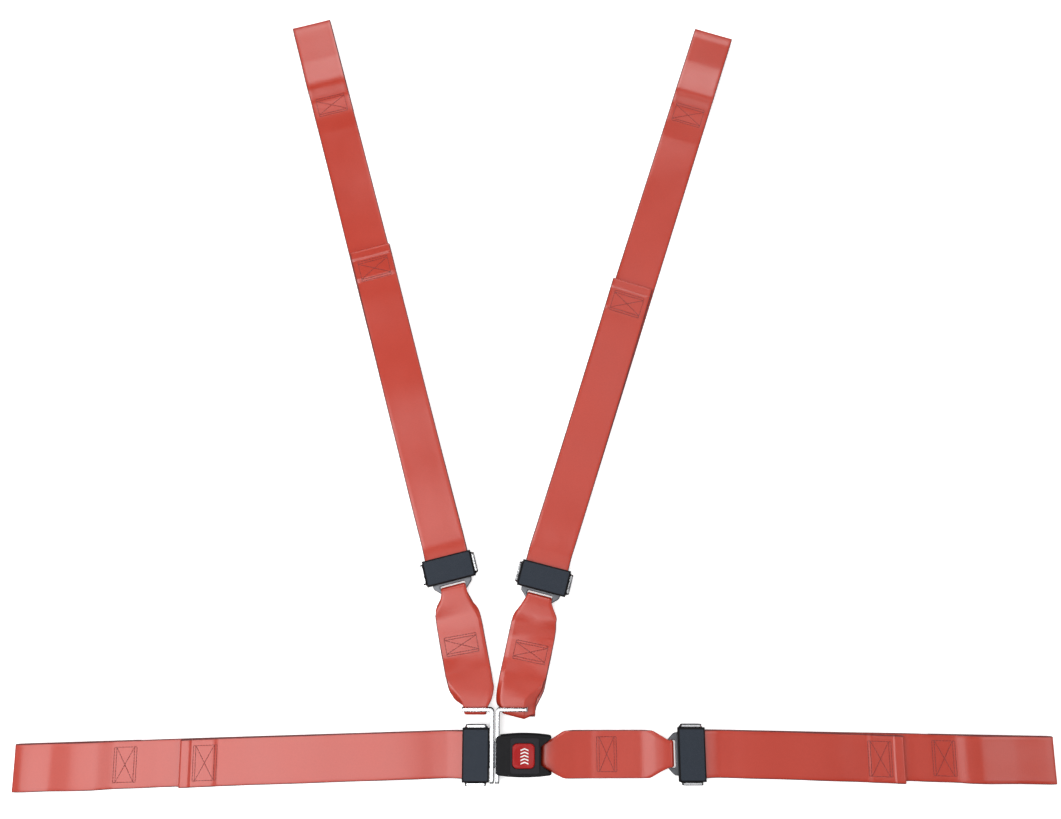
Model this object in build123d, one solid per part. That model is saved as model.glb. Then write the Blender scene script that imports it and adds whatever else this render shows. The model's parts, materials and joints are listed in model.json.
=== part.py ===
"""Four-point restraint harness: two shoulder straps and two lap straps that meet at a push-button buckle.

Millimetres, +Z out of the front of the harness, +Y towards the shoulders, +X along the lap belt.
The origin is the centre of the buckle's back, on the plane that the harness lies on.
Each strap has a local frame: its origin under the centre of its adjuster, local +X towards the buckle.
"""

from build123d import *
import math
import os

# ---- webbing
WEB_WIDTH = 50.8
WEB = 2.0
HALF_WEB = WEB_WIDTH / 2
TAIL_GAP = 0.2
SEAM_GAP = 0.02
HEM_LENGTH = 38.0
RIDGE_LENGTH = 11.0
LOOP_LENGTH = 110.0
LOOP_LEVEL = 84.0
LOOP_SEWN = 28.0
LOOP_RAMP = 12.0
LOOP_INNER_R = 3.0

# ---- sewn eyes of the link straps
EYE_Z = 5.2
EYE_INNER_R = 3.1
EYE_OUTER_R = EYE_INNER_R + WEB
EYE_NECK = 8.0
LINK_HALF = WEB

# ---- adjusters, in the strap's local frame
PLATE = 2.5
FRAME_LOW = EYE_Z - PLATE / 2
FRAME_TOP = EYE_Z + PLATE / 2
FRAME_HALF_LENGTH = 13.0
FRAME_HALF_WIDTH = 32.0
FLANGE = 3.0
FLANGE_TOP = 12.4
WINDOW_BACK = -7.5
WINDOW_FRONT = 7.6
WINDOW_HALF = 27.2
BAR_X = -0.5
BAR_R = 3.2
WRAP_INNER_R = 3.4
BAR_Z = WEB + WRAP_INNER_R
BAR_HALF = 26.8
TENON_HALF = 31.0
TENON_LENGTH = 4.2
TENON_THICK = 1.4
GRIP_TRAVEL = 2.4
COVER_HALF_LENGTH = 15.0
COVER_HALF_WIDTH = 28.5
COVER_TOP = 13.6
COVER_SKIN = 1.8
COVER_WALL = 1.5
SNAP_X = 9.0
SNAP_Z = 9.6
SNAP_R = 1.1

# ---- D-eye at the front of an adjuster frame
D_BAR_X = 24.4
D_BAR_HALF_LENGTH = 2.3
D_SLOT_BACK = 17.6
D_SLOT_HALF = 14.6
D_FRONT = D_BAR_X + D_BAR_HALF_LENGTH
D_EYE_WIDTH = 26.0

# ---- where the adjusters sit and where the strap ends lie
SHOULDERS = {
    "left": {"centre": (-87.1, 203.8), "tilt": 14.2, "end": (-284.0, 916.8), "tail": 410.0},
    "right": {"centre": (22.9, 193.0), "tilt": -14.5, "end": (251.0, 901.1), "tail": 377.0},
}
LAP_LEFT = {"centre": (-53.4, 0.0), "end": (-566.5, -15.5), "tail": 329.0}
LAP_RIGHT = {"centre": (186.0, 0.5), "end": (590.8, -7.0), "tail": 237.5}
BEND_X = -30.0

# ---- tongue and hooks
BLADE_Z = 8.2
BLADE_LOW = BLADE_Z - PLATE / 2
BLADE_TOP = BLADE_Z + PLATE / 2
BLADE_HALF = 14.0
BLADE_TIP_X = -2.0
BLADE_FLAT_X = -38.2
BLADE_WINDOW = (-12.0, -4.0)
BLADE_WINDOW_HALF = 9.0
HOOK_MIDDLE_X = -32.5
HOOK_LEG_X = 0.9
HOOK_PLATE = 4.2
HOOK_LOW = 3.2
HOOK_TOP = 15.2
HOOK_LEG_LOW_Y = -29.5
HOOK_ARM_Y = 48.3
HOOK_ARM_END = 36.7
HOOK_SLOT_CENTRE = 22.2
HOOK_SLOT_HALF = 11.5
HOOK_SLOT_Z = (6.7, 10.9)
HOOK_EYE_WIDTH = 22.0
HOOK_BEND_R = 5.0

# ---- buckle
BUCKLE_HALF_X = 31.0
BUCKLE_HALF_Y = 22.4
BUCKLE_END_Y = 20.0
BUCKLE_SPLIT = BLADE_Z
BUCKLE_TOP = 19.2
BUCKLE_WALL = 1.8
FRONT_FACE_X = -26.6
OVERHANG_Z = 15.8
NOTCH_X = 18.5
NOTCH_HALF = 9.5
EAR_HALF = 19.0
MOUTH_HALF = 14.8
MOUTH_Z = (6.6, 9.8)
STRAP_BAR_X = 23.4
BUCKLE_EYE_WIDTH = 25.0
PANEL = (-15.0, 17.0)
PANEL_HALF = 18.8
PANEL_TOP = 19.9
BUTTON_X = -0.4
BUTTON_SIZE = (24.6, 26.2)
BUTTON_CORNER = 5.2
BUTTON_TOP = 20.3
BUTTON_LOW = 13.4
BUTTON_SKIN_Z = 18.4
BUTTON_WALL = 1.4
BUTTON_GAP = 0.5
BUTTON_TRAVEL = 2.5
STEEL = 2.2
STEEL_LOW = EYE_Z - STEEL / 2
STEEL_TOP = EYE_Z + STEEL / 2
PIVOT_X = 1.0
PIVOT_Z = 12.4
PIN_R = 1.1
PIN_HALF = 17.7
LATCH_HALF = 8.2
SPRING_WIRE = 0.5
SCREW_R = 1.1
SCREW_HEAD_R = 1.85
SCREW_POST_R = 2.2
SCREW_SEAT = 1.5
SCREW_TOP = 14.0
SCREW_PLACES = [(-20.0, -17.3), (-20.0, 17.3), (25.4, -17.9), (25.4, 17.9)]


# ---------------------------------------------------------------- helpers
def block(x, y, z):
    """A box from its (low, high) pairs along X, Y and Z."""
    size = [high - low for low, high in (x, y, z)]
    middle = [(high + low) / 2 for low, high in (x, y, z)]
    return Pos(*middle) * Box(*size)


def slab(sketch, z):
    """A plan outline extruded between two heights."""
    return extrude(Plane.XY.offset(z[0]) * sketch, z[1] - z[0])


def outline(points):
    return Polygon(*points, align=None)


def across(sketch, width):
    """A side profile, drawn in X and Z, extruded both ways across Y."""
    return extrude(Plane.XZ * sketch, width / 2, both=True)


def mirrored(solid):
    return solid + mirror(solid, Plane.XZ)


def rod(radius, x, z, half_length):
    """A round bar along Y."""
    return Pos(x, 0, z) * Rot(90, 0, 0) * Cylinder(radius, 2 * half_length)


def half_ring(centre, inner, outer, front):
    """Half of a ring in the side profile, open towards the back or the front."""
    reach = outer + 1
    ring = Circle(outer) - Circle(inner)
    half = ring & (Pos(reach / 2 * front, 0) * Rectangle(reach, 2 * reach))
    return Pos(*centre) * half


def coil(radius, turn_height, turns, base):
    """A compression spring standing on its base point."""
    path = Helix(turn_height, turn_height * turns, radius)
    wire_face = Plane(path @ 0, z_dir=path % 0) * Circle(SPRING_WIRE / 2)
    return Pos(*base) * sweep(wire_face, path=path, is_frenet=True)


def local_to_row(centre, direction):
    """Where a local frame sits: direction is the angle of its +X in the plan."""
    return Pos(centre[0], centre[1], 0) * Rot(0, 0, direction)


# ---------------------------------------------------------------- webbing
def free_length_and_bend(centre, direction, end):
    """Distance from the bend to the strap's end, and the angle that the strap turns there."""
    angle = math.radians(direction)
    start = (centre[0] + BEND_X * math.cos(angle), centre[1] + BEND_X * math.sin(angle))
    reach = (end[0] - start[0], end[1] - start[1])
    turn = math.degrees(math.atan2(-reach[1], -reach[0])) - direction
    return math.hypot(*reach), (turn + 180) % 360 - 180


def long_strap(centre, direction, end, tail):
    """A long strap in its local frame, as two nodes that meet at its bend.

    The first is the turn round the friction bar. The second is the main layer with its end loop, and the
    tail over it. The loop stands open on its fold, comes down to its sewn stretch and tapers off on the
    main layer. Both ends at the bend are cut square to the turn, SEAM_GAP apart.
    """
    length, bend = free_length_and_bend(centre, direction, end)
    overlap = 2.0
    tail_low = WEB + TAIL_GAP
    main = outline([(BEND_X, 0), (BAR_X, 0), (BAR_X, WEB), (BEND_X, WEB)])
    wrap = half_ring((BAR_X, BAR_Z), WRAP_INNER_R, WRAP_INNER_R + WEB, 1)
    top = BAR_Z + WRAP_INNER_R
    run = [(BAR_X, top), (-5.0, top - 0.2), (-14.5, top - 1.8), (BEND_X, tail_low)]
    over = outline(run + [(x, z + WEB) for x, z in reversed(run)])
    turn = across(main + wrap + over, WEB_WIDTH)

    fold_x = -length + LOOP_INNER_R + WEB
    fold_z = LOOP_INNER_R + WEB
    sewn = (-length + LOOP_LENGTH, -length + LOOP_LENGTH + LOOP_SEWN)
    tail_end = -(tail + BEND_X)
    lower = outline([(fold_x, 0), (overlap, 0), (overlap, WEB), (fold_x, WEB)])
    fold = half_ring((fold_x, fold_z), LOOP_INNER_R, LOOP_INNER_R + WEB, -1)
    loop_top = fold_z + LOOP_INNER_R
    level = -length + LOOP_LEVEL
    upper = outline([(fold_x, loop_top), (level, loop_top), (sewn[0], WEB), (sewn[1] + LOOP_RAMP, WEB),
                     (sewn[1], 2 * WEB), (sewn[0], 2 * WEB),
                     (level, loop_top + WEB), (fold_x, loop_top + WEB)])
    tail_layer = outline([(tail_end, tail_low), (overlap, tail_low),
                          (overlap, tail_low + WEB), (tail_end, tail_low + WEB)])
    hem = outline([(tail_end, tail_low), (tail_end + HEM_LENGTH, tail_low),
                   (tail_end + HEM_LENGTH, tail_low + 2 * WEB), (tail_end + RIDGE_LENGTH, tail_low + 2 * WEB),
                   (tail_end + RIDGE_LENGTH, tail_low + 2.5 * WEB), (tail_end, tail_low + 2.5 * WEB)])
    layer = across(lower + fold + upper, WEB_WIDTH)
    free_tail = across(tail_layer + hem, WEB_WIDTH)
    past_bend = block((BEND_X - SEAM_GAP, BEND_X + 2 * overlap), (-WEB_WIDTH, WEB_WIDTH),
                      (-1, tail_low + 2 * WEB))
    return turn, Pos(BEND_X, 0, 0) * Rot(0, 0, bend) * Compound(children=[layer, free_tail]) - past_bend


def eye_ring(width):
    """A round sewn eye about the local origin, its axis along Y."""
    return rod(EYE_OUTER_R, 0, EYE_Z, width / 2) - rod(EYE_INNER_R, 0, EYE_Z, width / 2 + 1)


def link_strap(start, end, start_axis, end_axis, start_width, end_width, neck, spread):
    """A short doubled strap between two bars, whose normals stand at start_axis and end_axis in plan."""
    reach = (end[0] - start[0], end[1] - start[1])
    length = math.hypot(*reach)
    direction = math.degrees(math.atan2(reach[1], reach[0]))
    plan = outline([
        (0, -start_width / 2), (neck[0], -start_width / 2), (spread[0], -HALF_WEB),
        (length - spread[1], -HALF_WEB), (length - neck[1], -end_width / 2), (length, -end_width / 2),
        (length, end_width / 2), (length - neck[1], end_width / 2), (length - spread[1], HALF_WEB),
        (spread[0], HALF_WEB), (neck[0], start_width / 2), (0, start_width / 2),
    ])
    body = slab(plan, (EYE_Z - LINK_HALF, EYE_Z + LINK_HALF))
    strap = local_to_row(start, direction) * body
    ends = ((start, start_axis, start_width), (end, end_axis, end_width))
    for place, axis, width in ends:
        bore = local_to_row(place, axis) * rod(EYE_INNER_R + WEB / 2, 0, EYE_Z, HALF_WEB)
        half_plane = block((-EYE_OUTER_R * 2, 0), (-HALF_WEB, HALF_WEB), (0, 2 * EYE_Z))
        behind = local_to_row(place, axis) * half_plane
        strap = strap - bore - behind
    for place, axis, width in ends:
        strap = strap + local_to_row(place, axis) * eye_ring(width)
    return strap


# ---------------------------------------------------------------- adjusters
def frame_plate(outline_sketch):
    """The base plate with its window, from a plan outline that has the front part on it."""
    window = Pos((WINDOW_BACK + WINDOW_FRONT) / 2, 0) * Rectangle(WINDOW_FRONT - WINDOW_BACK, 2 * WINDOW_HALF)
    return slab(outline_sketch - window, (FRAME_LOW, FRAME_TOP))


def frame_outline():
    corner = 3.0
    x, y = FRAME_HALF_LENGTH, FRAME_HALF_WIDTH
    return outline([(-x, -y + corner), (-x + corner, -y), (x - corner, -y), (x, -y + corner),
                    (x, y - corner), (x - corner, y), (-x + corner, y), (-x, y - corner)])


def flanges():
    """The two upright side walls, with a slot for the friction bar's tenon and a snap hole for the cover."""
    foot = FRAME_HALF_LENGTH - 3.0
    side = outline([(-foot, FRAME_LOW), (foot, FRAME_LOW),
                    (foot + 1.5, FRAME_TOP + 1), (foot + 1.5, FLANGE_TOP - 1.5),
                    (foot, FLANGE_TOP), (-foot, FLANGE_TOP), (-foot - 1.5, FLANGE_TOP - 1.5),
                    (-foot - 1.5, FRAME_TOP + 1)])
    wall = across(side, 2 * FRAME_HALF_WIDTH)
    inner = FRAME_HALF_WIDTH - FLANGE
    wall = wall - block((-20, 20), (-inner, inner), (0, 20))
    for x in (-SNAP_X, SNAP_X):
        wall = wall - rod(SNAP_R + 0.4, x, SNAP_Z, FRAME_HALF_WIDTH + 1)
    return wall


def tenon_slots():
    half = TENON_LENGTH / 2
    z = (BAR_Z - TENON_THICK / 2 - 0.25, BAR_Z + TENON_THICK / 2 + 0.25)
    x = (BAR_X - half - GRIP_TRAVEL - 0.4, BAR_X + half + 0.4)
    return mirrored(block(x, (BAR_HALF, FRAME_HALF_WIDTH + 1), z))


def d_outline():
    """The D-shaped eye in front of the cover."""
    points = [(FRAME_HALF_LENGTH - 2, -23.5), (19.0, -22.5), (D_FRONT, -14.5),
              (D_FRONT, 14.5), (19.0, 22.5), (FRAME_HALF_LENGTH - 2, 23.5)]
    shape = outline(points)
    rounded = [v for v in shape.vertices() if v.X > FRAME_HALF_LENGTH]
    shape = fillet(rounded, 5.0)
    slot_front = D_BAR_X - D_BAR_HALF_LENGTH
    slot_shape = RectangleRounded(slot_front - D_SLOT_BACK, 2 * D_SLOT_HALF, 1.5)
    slot = Pos((D_SLOT_BACK + slot_front) / 2, 0) * slot_shape
    return shape - slot


def adjuster_frame():
    plate = frame_plate(frame_outline() + d_outline())
    bar_edges = plate.edges().filter_by(Axis.Y).filter_by(
        lambda e: abs(e.center().X - D_BAR_X) < D_BAR_HALF_LENGTH + 1.2 and e.length > 10)
    plate = fillet(bar_edges, 0.9)
    return plate + flanges() - tenon_slots()


def tongue_plate():
    """The left lap adjuster's frame, whose front edge steps up to the tongue blade."""
    centre_x = LAP_LEFT["centre"][0]
    flat = BLADE_FLAT_X - centre_x
    tip = BLADE_TIP_X - centre_x
    step = [(FRAME_HALF_LENGTH - 3.5, FRAME_LOW), (flat, BLADE_LOW), (tip, BLADE_LOW),
            (tip, BLADE_TOP), (flat - 1, BLADE_TOP), (FRAME_HALF_LENGTH - 4.5, FRAME_TOP)]
    blade = across(outline(step), 2 * BLADE_HALF)
    corners = blade.edges().filter_by(Axis.Z).filter_by(lambda e: e.center().X > tip - 0.1)
    blade = fillet(corners, 5.0)
    window_x = (BLADE_WINDOW[0] - centre_x, BLADE_WINDOW[1] - centre_x)
    blade = blade - block(window_x, (-BLADE_WINDOW_HALF, BLADE_WINDOW_HALF), (BLADE_LOW - 1, BLADE_TOP + 1))
    front_edge = block((FRAME_HALF_LENGTH - 3.4, FRAME_HALF_LENGTH + 1), (-BLADE_HALF, BLADE_HALF),
                       (FRAME_LOW - 1, FRAME_TOP + 1))
    plate = frame_plate(frame_outline()) - front_edge
    return plate + blade + flanges() - tenon_slots()


def adjuster_cover(front_skirt_z):
    """The snap-on cover: a skin, two side walls and two skirts, with snap pips in the side walls."""
    x, y = COVER_HALF_LENGTH, COVER_HALF_WIDTH
    wall_low = FRAME_TOP + 0.5
    shell = block((-x, x), (-y, y), (wall_low, COVER_TOP))
    shell = chamfer(shell.edges().group_by(Axis.Z)[-1], 1.2)
    hollow = block((-x + COVER_WALL, x - COVER_WALL), (-y + COVER_WALL, y - COVER_WALL),
                   (wall_low - 1, COVER_TOP - COVER_SKIN))
    back_gap = block((-x - 1, -x + COVER_WALL), (-y + COVER_WALL, y - COVER_WALL), (wall_low - 1, 9.9))
    front_gap = block((x - COVER_WALL, x + 1), (-y + COVER_WALL, y - COVER_WALL),
                      (wall_low - 1, front_skirt_z))
    cover = shell - hollow - back_gap - front_gap
    for place in (-SNAP_X, SNAP_X):
        pips = rod(SNAP_R, place, SNAP_Z, COVER_HALF_WIDTH + 0.9) - block(
            (-x, x), (-y + COVER_WALL / 2, y - COVER_WALL / 2), (0, COVER_TOP))
        cover = cover + pips
    return cover


def friction_bar():
    """The loose bar that the webbing turns round, with a flat tenon at each end."""
    tenon = block((BAR_X - TENON_LENGTH / 2, BAR_X + TENON_LENGTH / 2), (-TENON_HALF, TENON_HALF),
                  (BAR_Z - TENON_THICK / 2, BAR_Z + TENON_THICK / 2))
    return rod(BAR_R, BAR_X, BAR_Z, BAR_HALF - 0.3) + tenon


# ---------------------------------------------------------------- hooks
def left_hook():
    """An L-bent strip standing on edge: a slotted leg on the tongue and a slotted arm for the link strap."""
    corner_x = HOOK_MIDDLE_X - HOOK_LEG_X
    arm_end = HOOK_MIDDLE_X - HOOK_ARM_END
    outer_y = HOOK_ARM_Y + HOOK_PLATE / 2
    height = (HOOK_LOW, HOOK_TOP)
    leg = block((corner_x - HOOK_PLATE, corner_x), (HOOK_LEG_LOW_Y, outer_y), height)
    arm = block((arm_end, corner_x), (outer_y - HOOK_PLATE, outer_y), height)
    strip = leg + arm
    outside = strip.edges().filter_by(Axis.Z).sort_by_distance((corner_x, outer_y, EYE_Z))[0]
    strip = fillet(outside, HOOK_BEND_R)
    inside = strip.edges().filter_by(Axis.Z).sort_by_distance(
        (corner_x - HOOK_PLATE, outer_y - HOOK_PLATE, EYE_Z))[0]
    strip = fillet(inside, HOOK_BEND_R - HOOK_PLATE)
    tongue_slot = block((corner_x - HOOK_PLATE - 1, corner_x + 1), (-BLADE_HALF - 0.6, BLADE_HALF + 0.6),
                        (BLADE_LOW - 0.35, BLADE_TOP + 0.35))
    slot_x = HOOK_MIDDLE_X - HOOK_SLOT_CENTRE
    strap_slot = block((slot_x - HOOK_SLOT_HALF, slot_x + HOOK_SLOT_HALF),
                       (outer_y - HOOK_PLATE - 1, outer_y + 1), HOOK_SLOT_Z)
    strip = strip - tongue_slot - strap_slot
    tips = strip.edges().filter_by(Axis.X).filter_by(
        lambda e: abs(e.center().Y - HOOK_LEG_LOW_Y) < 0.1)
    return fillet(tips, 2.5)


# ---------------------------------------------------------------- buckle
def buckle_outline(inset):
    """The barrel-shaped plan outline, without the strap notch."""
    x, end, middle = BUCKLE_HALF_X - inset, BUCKLE_END_Y - inset, BUCKLE_HALF_Y - inset
    with BuildSketch() as shape:
        with BuildLine():
            Line((-x, end), (-x, -end))
            ThreePointArc((-x, -end), (0, -middle), (x, -end))
            Line((x, -end), (x, end))
            ThreePointArc((x, end), (0, middle), (-x, end))
        make_face()
        fillet(shape.vertices(), 3.5 - inset)
    return shape.sketch


def notch_outline():
    """The flared opening between the ears, where the link strap leaves the buckle."""
    edge = BUCKLE_HALF_X + 1
    flare = (EAR_HALF - NOTCH_HALF) / (BUCKLE_HALF_X - NOTCH_X)
    outer = EAR_HALF + flare
    return outline([(NOTCH_X, -NOTCH_HALF), (edge, -outer), (edge, outer), (NOTCH_X, NOTCH_HALF)])


def strap_room():
    """The space that the link strap's eye and the steel frame's bar need between the ears."""
    eye_half = BUCKLE_EYE_WIDTH / 2 + 1.1
    eye = block((NOTCH_X - 2.0, 40), (-eye_half, eye_half), (-1, OVERHANG_Z))
    steel = block((14.0, 27.2), (-15.7, 15.7), (STEEL_LOW - 0.3, STEEL_TOP + 0.3))
    return eye + steel


def mouth():
    return block((-40, -20), (-MOUTH_HALF, MOUTH_HALF), MOUTH_Z)


def at_screws(radius, z):
    """One upright cylinder at each case screw."""
    return [slab(Pos(x, y) * Circle(radius), z) for x, y in SCREW_PLACES]


def button_plan(grow):
    return Pos(BUTTON_X, 0) * RectangleRounded(
        BUTTON_SIZE[0] + 2 * grow, BUTTON_SIZE[1] + 2 * grow, BUTTON_CORNER + grow)


def buckle_cover_top():
    body = slab(buckle_outline(0), (BUCKLE_SPLIT, BUCKLE_TOP))
    body = fillet(body.edges().group_by(Axis.Z)[-1], 1.6)
    panel = slab(Pos((PANEL[0] + PANEL[1]) / 2, 0) * RectangleRounded(
        PANEL[1] - PANEL[0], 2 * PANEL_HALF, 3.0), (BUCKLE_TOP - 1, PANEL_TOP))
    panel = fillet(panel.edges().group_by(Axis.Z)[-1], 0.6)
    hollow = slab(buckle_outline(BUCKLE_WALL), (BUCKLE_SPLIT - 1, BUCKLE_TOP - 2.0))
    front_limit = FRONT_FACE_X + BUCKLE_WALL
    hollow = hollow - block((-40, front_limit), (-30, 30), (0, 40))
    undercut = block((-40, FRONT_FACE_X), (-30, 30), (0, OVERHANG_Z))
    shell = body + panel - hollow - undercut - mouth()
    shell = shell + at_screws(SCREW_POST_R, (BUCKLE_SPLIT, BUCKLE_TOP - 1.5))
    shell = shell - at_screws(SCREW_R + 0.05, (BUCKLE_SPLIT - 1, SCREW_TOP + 0.4))
    notch = slab(notch_outline(), (-1, 40))
    hole = slab(button_plan(BUTTON_GAP), (0, 40))
    return shell - notch - strap_room() - hole


def buckle_cover_bottom():
    body = slab(buckle_outline(0), (0, BUCKLE_SPLIT))
    body = chamfer(body.edges().group_by(Axis.Z)[0], 0.8)
    hollow = slab(buckle_outline(BUCKLE_WALL), (2.0, BUCKLE_SPLIT + 1))
    front_limit = FRONT_FACE_X + BUCKLE_WALL
    hollow = hollow - block((-40, front_limit), (-30, 30), (0, 40))
    undercut = block((-40, FRONT_FACE_X), (-30, 30), (-1, 40))
    shell = body - hollow - undercut - mouth()
    for rib_x in (-16.0, 0.0, 10.0):
        shell = shell + block((rib_x - 1, rib_x + 1), (-13, 13), (1.9, STEEL_LOW))
    shell = shell + at_screws(SCREW_POST_R, (1.0, BUCKLE_SPLIT))
    shell = shell - at_screws(SCREW_R + 0.15, (-1, 40)) - at_screws(SCREW_HEAD_R + 0.1, (-1, SCREW_SEAT))
    notch = slab(notch_outline(), (-1, 40))
    return shell - notch - strap_room()


def buckle_frame():
    """The steel channel inside: base plate, two ears for the latch pin, a spring stop and the strap bar."""
    front, back = -23.5, STRAP_BAR_X + D_BAR_HALF_LENGTH
    plan = outline([(front, -14.4), (-13, -14.4), (-9, -17.8), (11, -17.8), (14.5, -15.3), (back, -15.3),
                    (back, 15.3), (14.5, 15.3), (11, 17.8), (-9, 17.8), (-13, 14.4), (front, 14.4)])
    slot = Pos((17.3 + STRAP_BAR_X - D_BAR_HALF_LENGTH) / 2, 0) * RectangleRounded(
        STRAP_BAR_X - D_BAR_HALF_LENGTH - 17.3, BUCKLE_EYE_WIDTH + 2, 1.2)
    plate = slab(plan - slot, (STEEL_LOW, STEEL_TOP))
    bar_edges = plate.edges().filter_by(Axis.Y).filter_by(lambda e: e.center().X > 20 and e.length > 10)
    plate = fillet(bar_edges, 0.8)
    ears = block((PIVOT_X - 4.5, PIVOT_X + 4.5), (-17.8, 17.8), (STEEL_TOP - 0.2, PIVOT_Z + 2.4))
    ears = ears - block((-20, 20), (-16.0, 16.0), (0, 20))
    ears = ears - rod(PIN_R + 0.02, PIVOT_X, PIVOT_Z, 20)
    stop = block((14.6, 15.8), (-4.0, 4.0), (STEEL_TOP - 0.2, 10.6))
    return plate + ears + stop


def latch_plate():
    """A lever on the pin: two prongs over the tongue's window, two tines under the button's back wall."""
    plate = block((PIVOT_X - 9.5, PIVOT_X + 2.0), (-LATCH_HALF, LATCH_HALF), (11.2, 12.8))
    tines = mirrored(block((PIVOT_X, PIVOT_X + 11.0), (5.0, LATCH_HALF), (11.2, 12.8)))
    prongs = mirrored(block((PIVOT_X - 9.5, PIVOT_X - 7.2), (5.0, LATCH_HALF), (BLADE_TOP + 0.35, 11.3)))
    barrel = rod(2.0, PIVOT_X, PIVOT_Z, LATCH_HALF)
    return plate + tines + prongs + barrel - rod(PIN_R + 0.05, PIVOT_X, PIVOT_Z, LATCH_HALF + 1)


def latch_springs():
    """Two small torsion coils on the pin, one each side of the latch."""
    turns = 4
    pitch = 0.62
    one = Pos(PIVOT_X, LATCH_HALF + 0.6, PIVOT_Z) * Rot(-90, 0, 0) * coil(1.55, pitch, turns, (0, 0, 0))
    return mirrored(one)


def release_button():
    body = slab(button_plan(0), (BUTTON_LOW, BUTTON_TOP))
    body = fillet(body.edges().group_by(Axis.Z)[-1], 1.2)
    hollow = slab(Pos(BUTTON_X, 0) * RectangleRounded(
        BUTTON_SIZE[0] - 2 * BUTTON_WALL, BUTTON_SIZE[1] - 2 * BUTTON_WALL, BUTTON_CORNER - BUTTON_WALL),
        (BUTTON_LOW - 1, BUTTON_SKIN_Z))
    pin_room = block((PIVOT_X - 1.6, PIVOT_X + 1.6), (-30, 30), (0, PIVOT_Z + PIN_R + BUTTON_TRAVEL + 0.4))
    dish_r = 90.0
    dish = Pos(BUTTON_X, 0, BUTTON_TOP - 0.7 + dish_r) * Sphere(dish_r)
    return body - hollow - pin_room - dish


def button_springs():
    base = (5.5, 10.15, STEEL_TOP + SPRING_WIRE / 2)
    turns = 7
    height = BUTTON_SKIN_Z - 0.3 - STEEL_TOP - SPRING_WIRE
    return mirrored(coil(1.0, height / turns, turns, base))


def ejector():
    block_part = block((BLADE_TIP_X + 0.3, 6.3), (-4.2, 4.2), (STEEL_TOP + 0.3, BLADE_TOP - 0.25))
    upright = block_part.edges().filter_by(Axis.Z)
    return fillet(upright, 0.8)


def ejector_spring():
    turns = 8
    length = 14.6 - 6.3 - 0.6 - SPRING_WIRE
    spring = coil(1.25, length / turns, turns, (0, 0, 0))
    return Pos(6.6 + SPRING_WIRE / 2, 0, 8.1) * Rot(0, 90, 0) * spring


def case_screws():
    """Four pan-head screws from the back of the buckle."""
    screws = []
    for x, y in SCREW_PLACES:
        head = slab(Pos(x, y) * Circle(SCREW_HEAD_R), (0.35, SCREW_SEAT))
        head = head - block((x - 1.3, x + 1.3), (y - 0.25, y + 0.25), (0, 0.8))
        shank = slab(Pos(x, y) * Circle(SCREW_R), (SCREW_SEAT - 0.1, SCREW_TOP))
        screws.append(head + shank)
    return Compound(children=screws)


# ---------------------------------------------------------------- the assembly
def webbing_and_adjusters(name, place, direction, frame, cover_skirt):
    """One adjuster with its strap, moved to where it lies."""
    to_row = local_to_row(place["centre"], direction)
    turn, run = long_strap(place["centre"], direction, place["end"], place["tail"])
    return {
        f"{name[0]}_strap_{name[1]}": to_row * run,
        f"{name[0]}_turn_{name[1]}": to_row * turn,
        frame[0]: to_row * frame[1],
        f"adjuster_cover_{name[0]}_{name[1]}": to_row * adjuster_cover(cover_skirt),
        f"friction_bar_{name[0]}_{name[1]}": to_row * friction_bar(),
    }


def build():
    nodes = {
        "buckle_cover_top": buckle_cover_top(),
        "buckle_cover_bottom": buckle_cover_bottom(),
        "buckle_frame": buckle_frame(),
        "latch_plate": latch_plate(),
        "latch_pin": rod(PIN_R, PIVOT_X, PIVOT_Z, PIN_HALF),
        "latch_springs": latch_springs(),
        "release_button": release_button(),
        "button_springs": button_springs(),
        "tongue_ejector": ejector(),
        "ejector_spring": ejector_spring(),
        "case_screws": case_screws(),
    }

    hook = left_hook()
    nodes["shoulder_hook_left"] = hook
    nodes["shoulder_hook_right"] = mirror(hook, Plane.YZ.offset(HOOK_MIDDLE_X))

    for side, place in SHOULDERS.items():
        direction = place["tilt"] - 90
        frame = (f"adjuster_frame_shoulder_{side}", adjuster_frame())
        nodes.update(webbing_and_adjusters(("shoulder", side), place, direction, frame, 7.2))
        angle = math.radians(direction)
        eye = (place["centre"][0] + D_BAR_X * math.cos(angle), place["centre"][1] + D_BAR_X * math.sin(angle))
        outward = -1 if side == "left" else 1
        arm = (HOOK_MIDDLE_X + outward * HOOK_SLOT_CENTRE, HOOK_ARM_Y)
        nodes[f"shoulder_link_strap_{side}"] = link_strap(
            arm, eye, 90, direction, HOOK_EYE_WIDTH, D_EYE_WIDTH, (EYE_NECK, EYE_NECK), (30.0, 28.0))

    frame = ("tongue_plate", tongue_plate())
    nodes.update(webbing_and_adjusters(("lap", "left"), LAP_LEFT, 0, frame, 10.2))
    frame = ("adjuster_frame_lap_right", adjuster_frame())
    nodes.update(webbing_and_adjusters(("lap", "right"), LAP_RIGHT, 180, frame, 7.2))
    lap_eye = (LAP_RIGHT["centre"][0] - D_BAR_X, LAP_RIGHT["centre"][1])
    nodes["buckle_link_strap"] = link_strap(
        (STRAP_BAR_X, 0), lap_eye, 0, 180, BUCKLE_EYE_WIDTH, D_EYE_WIDTH, (EYE_NECK, EYE_NECK), (28.0, 28.0))
    return nodes


os.makedirs("parts", exist_ok=True)
for node, solid in build().items():
    solid.label = node
    export_step(solid, f"parts/{node}.step")
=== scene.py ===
"""Looks of the four-point harness: webbing, stitching, plastics, chrome, floor, light and camera."""

import json
import math

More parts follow.
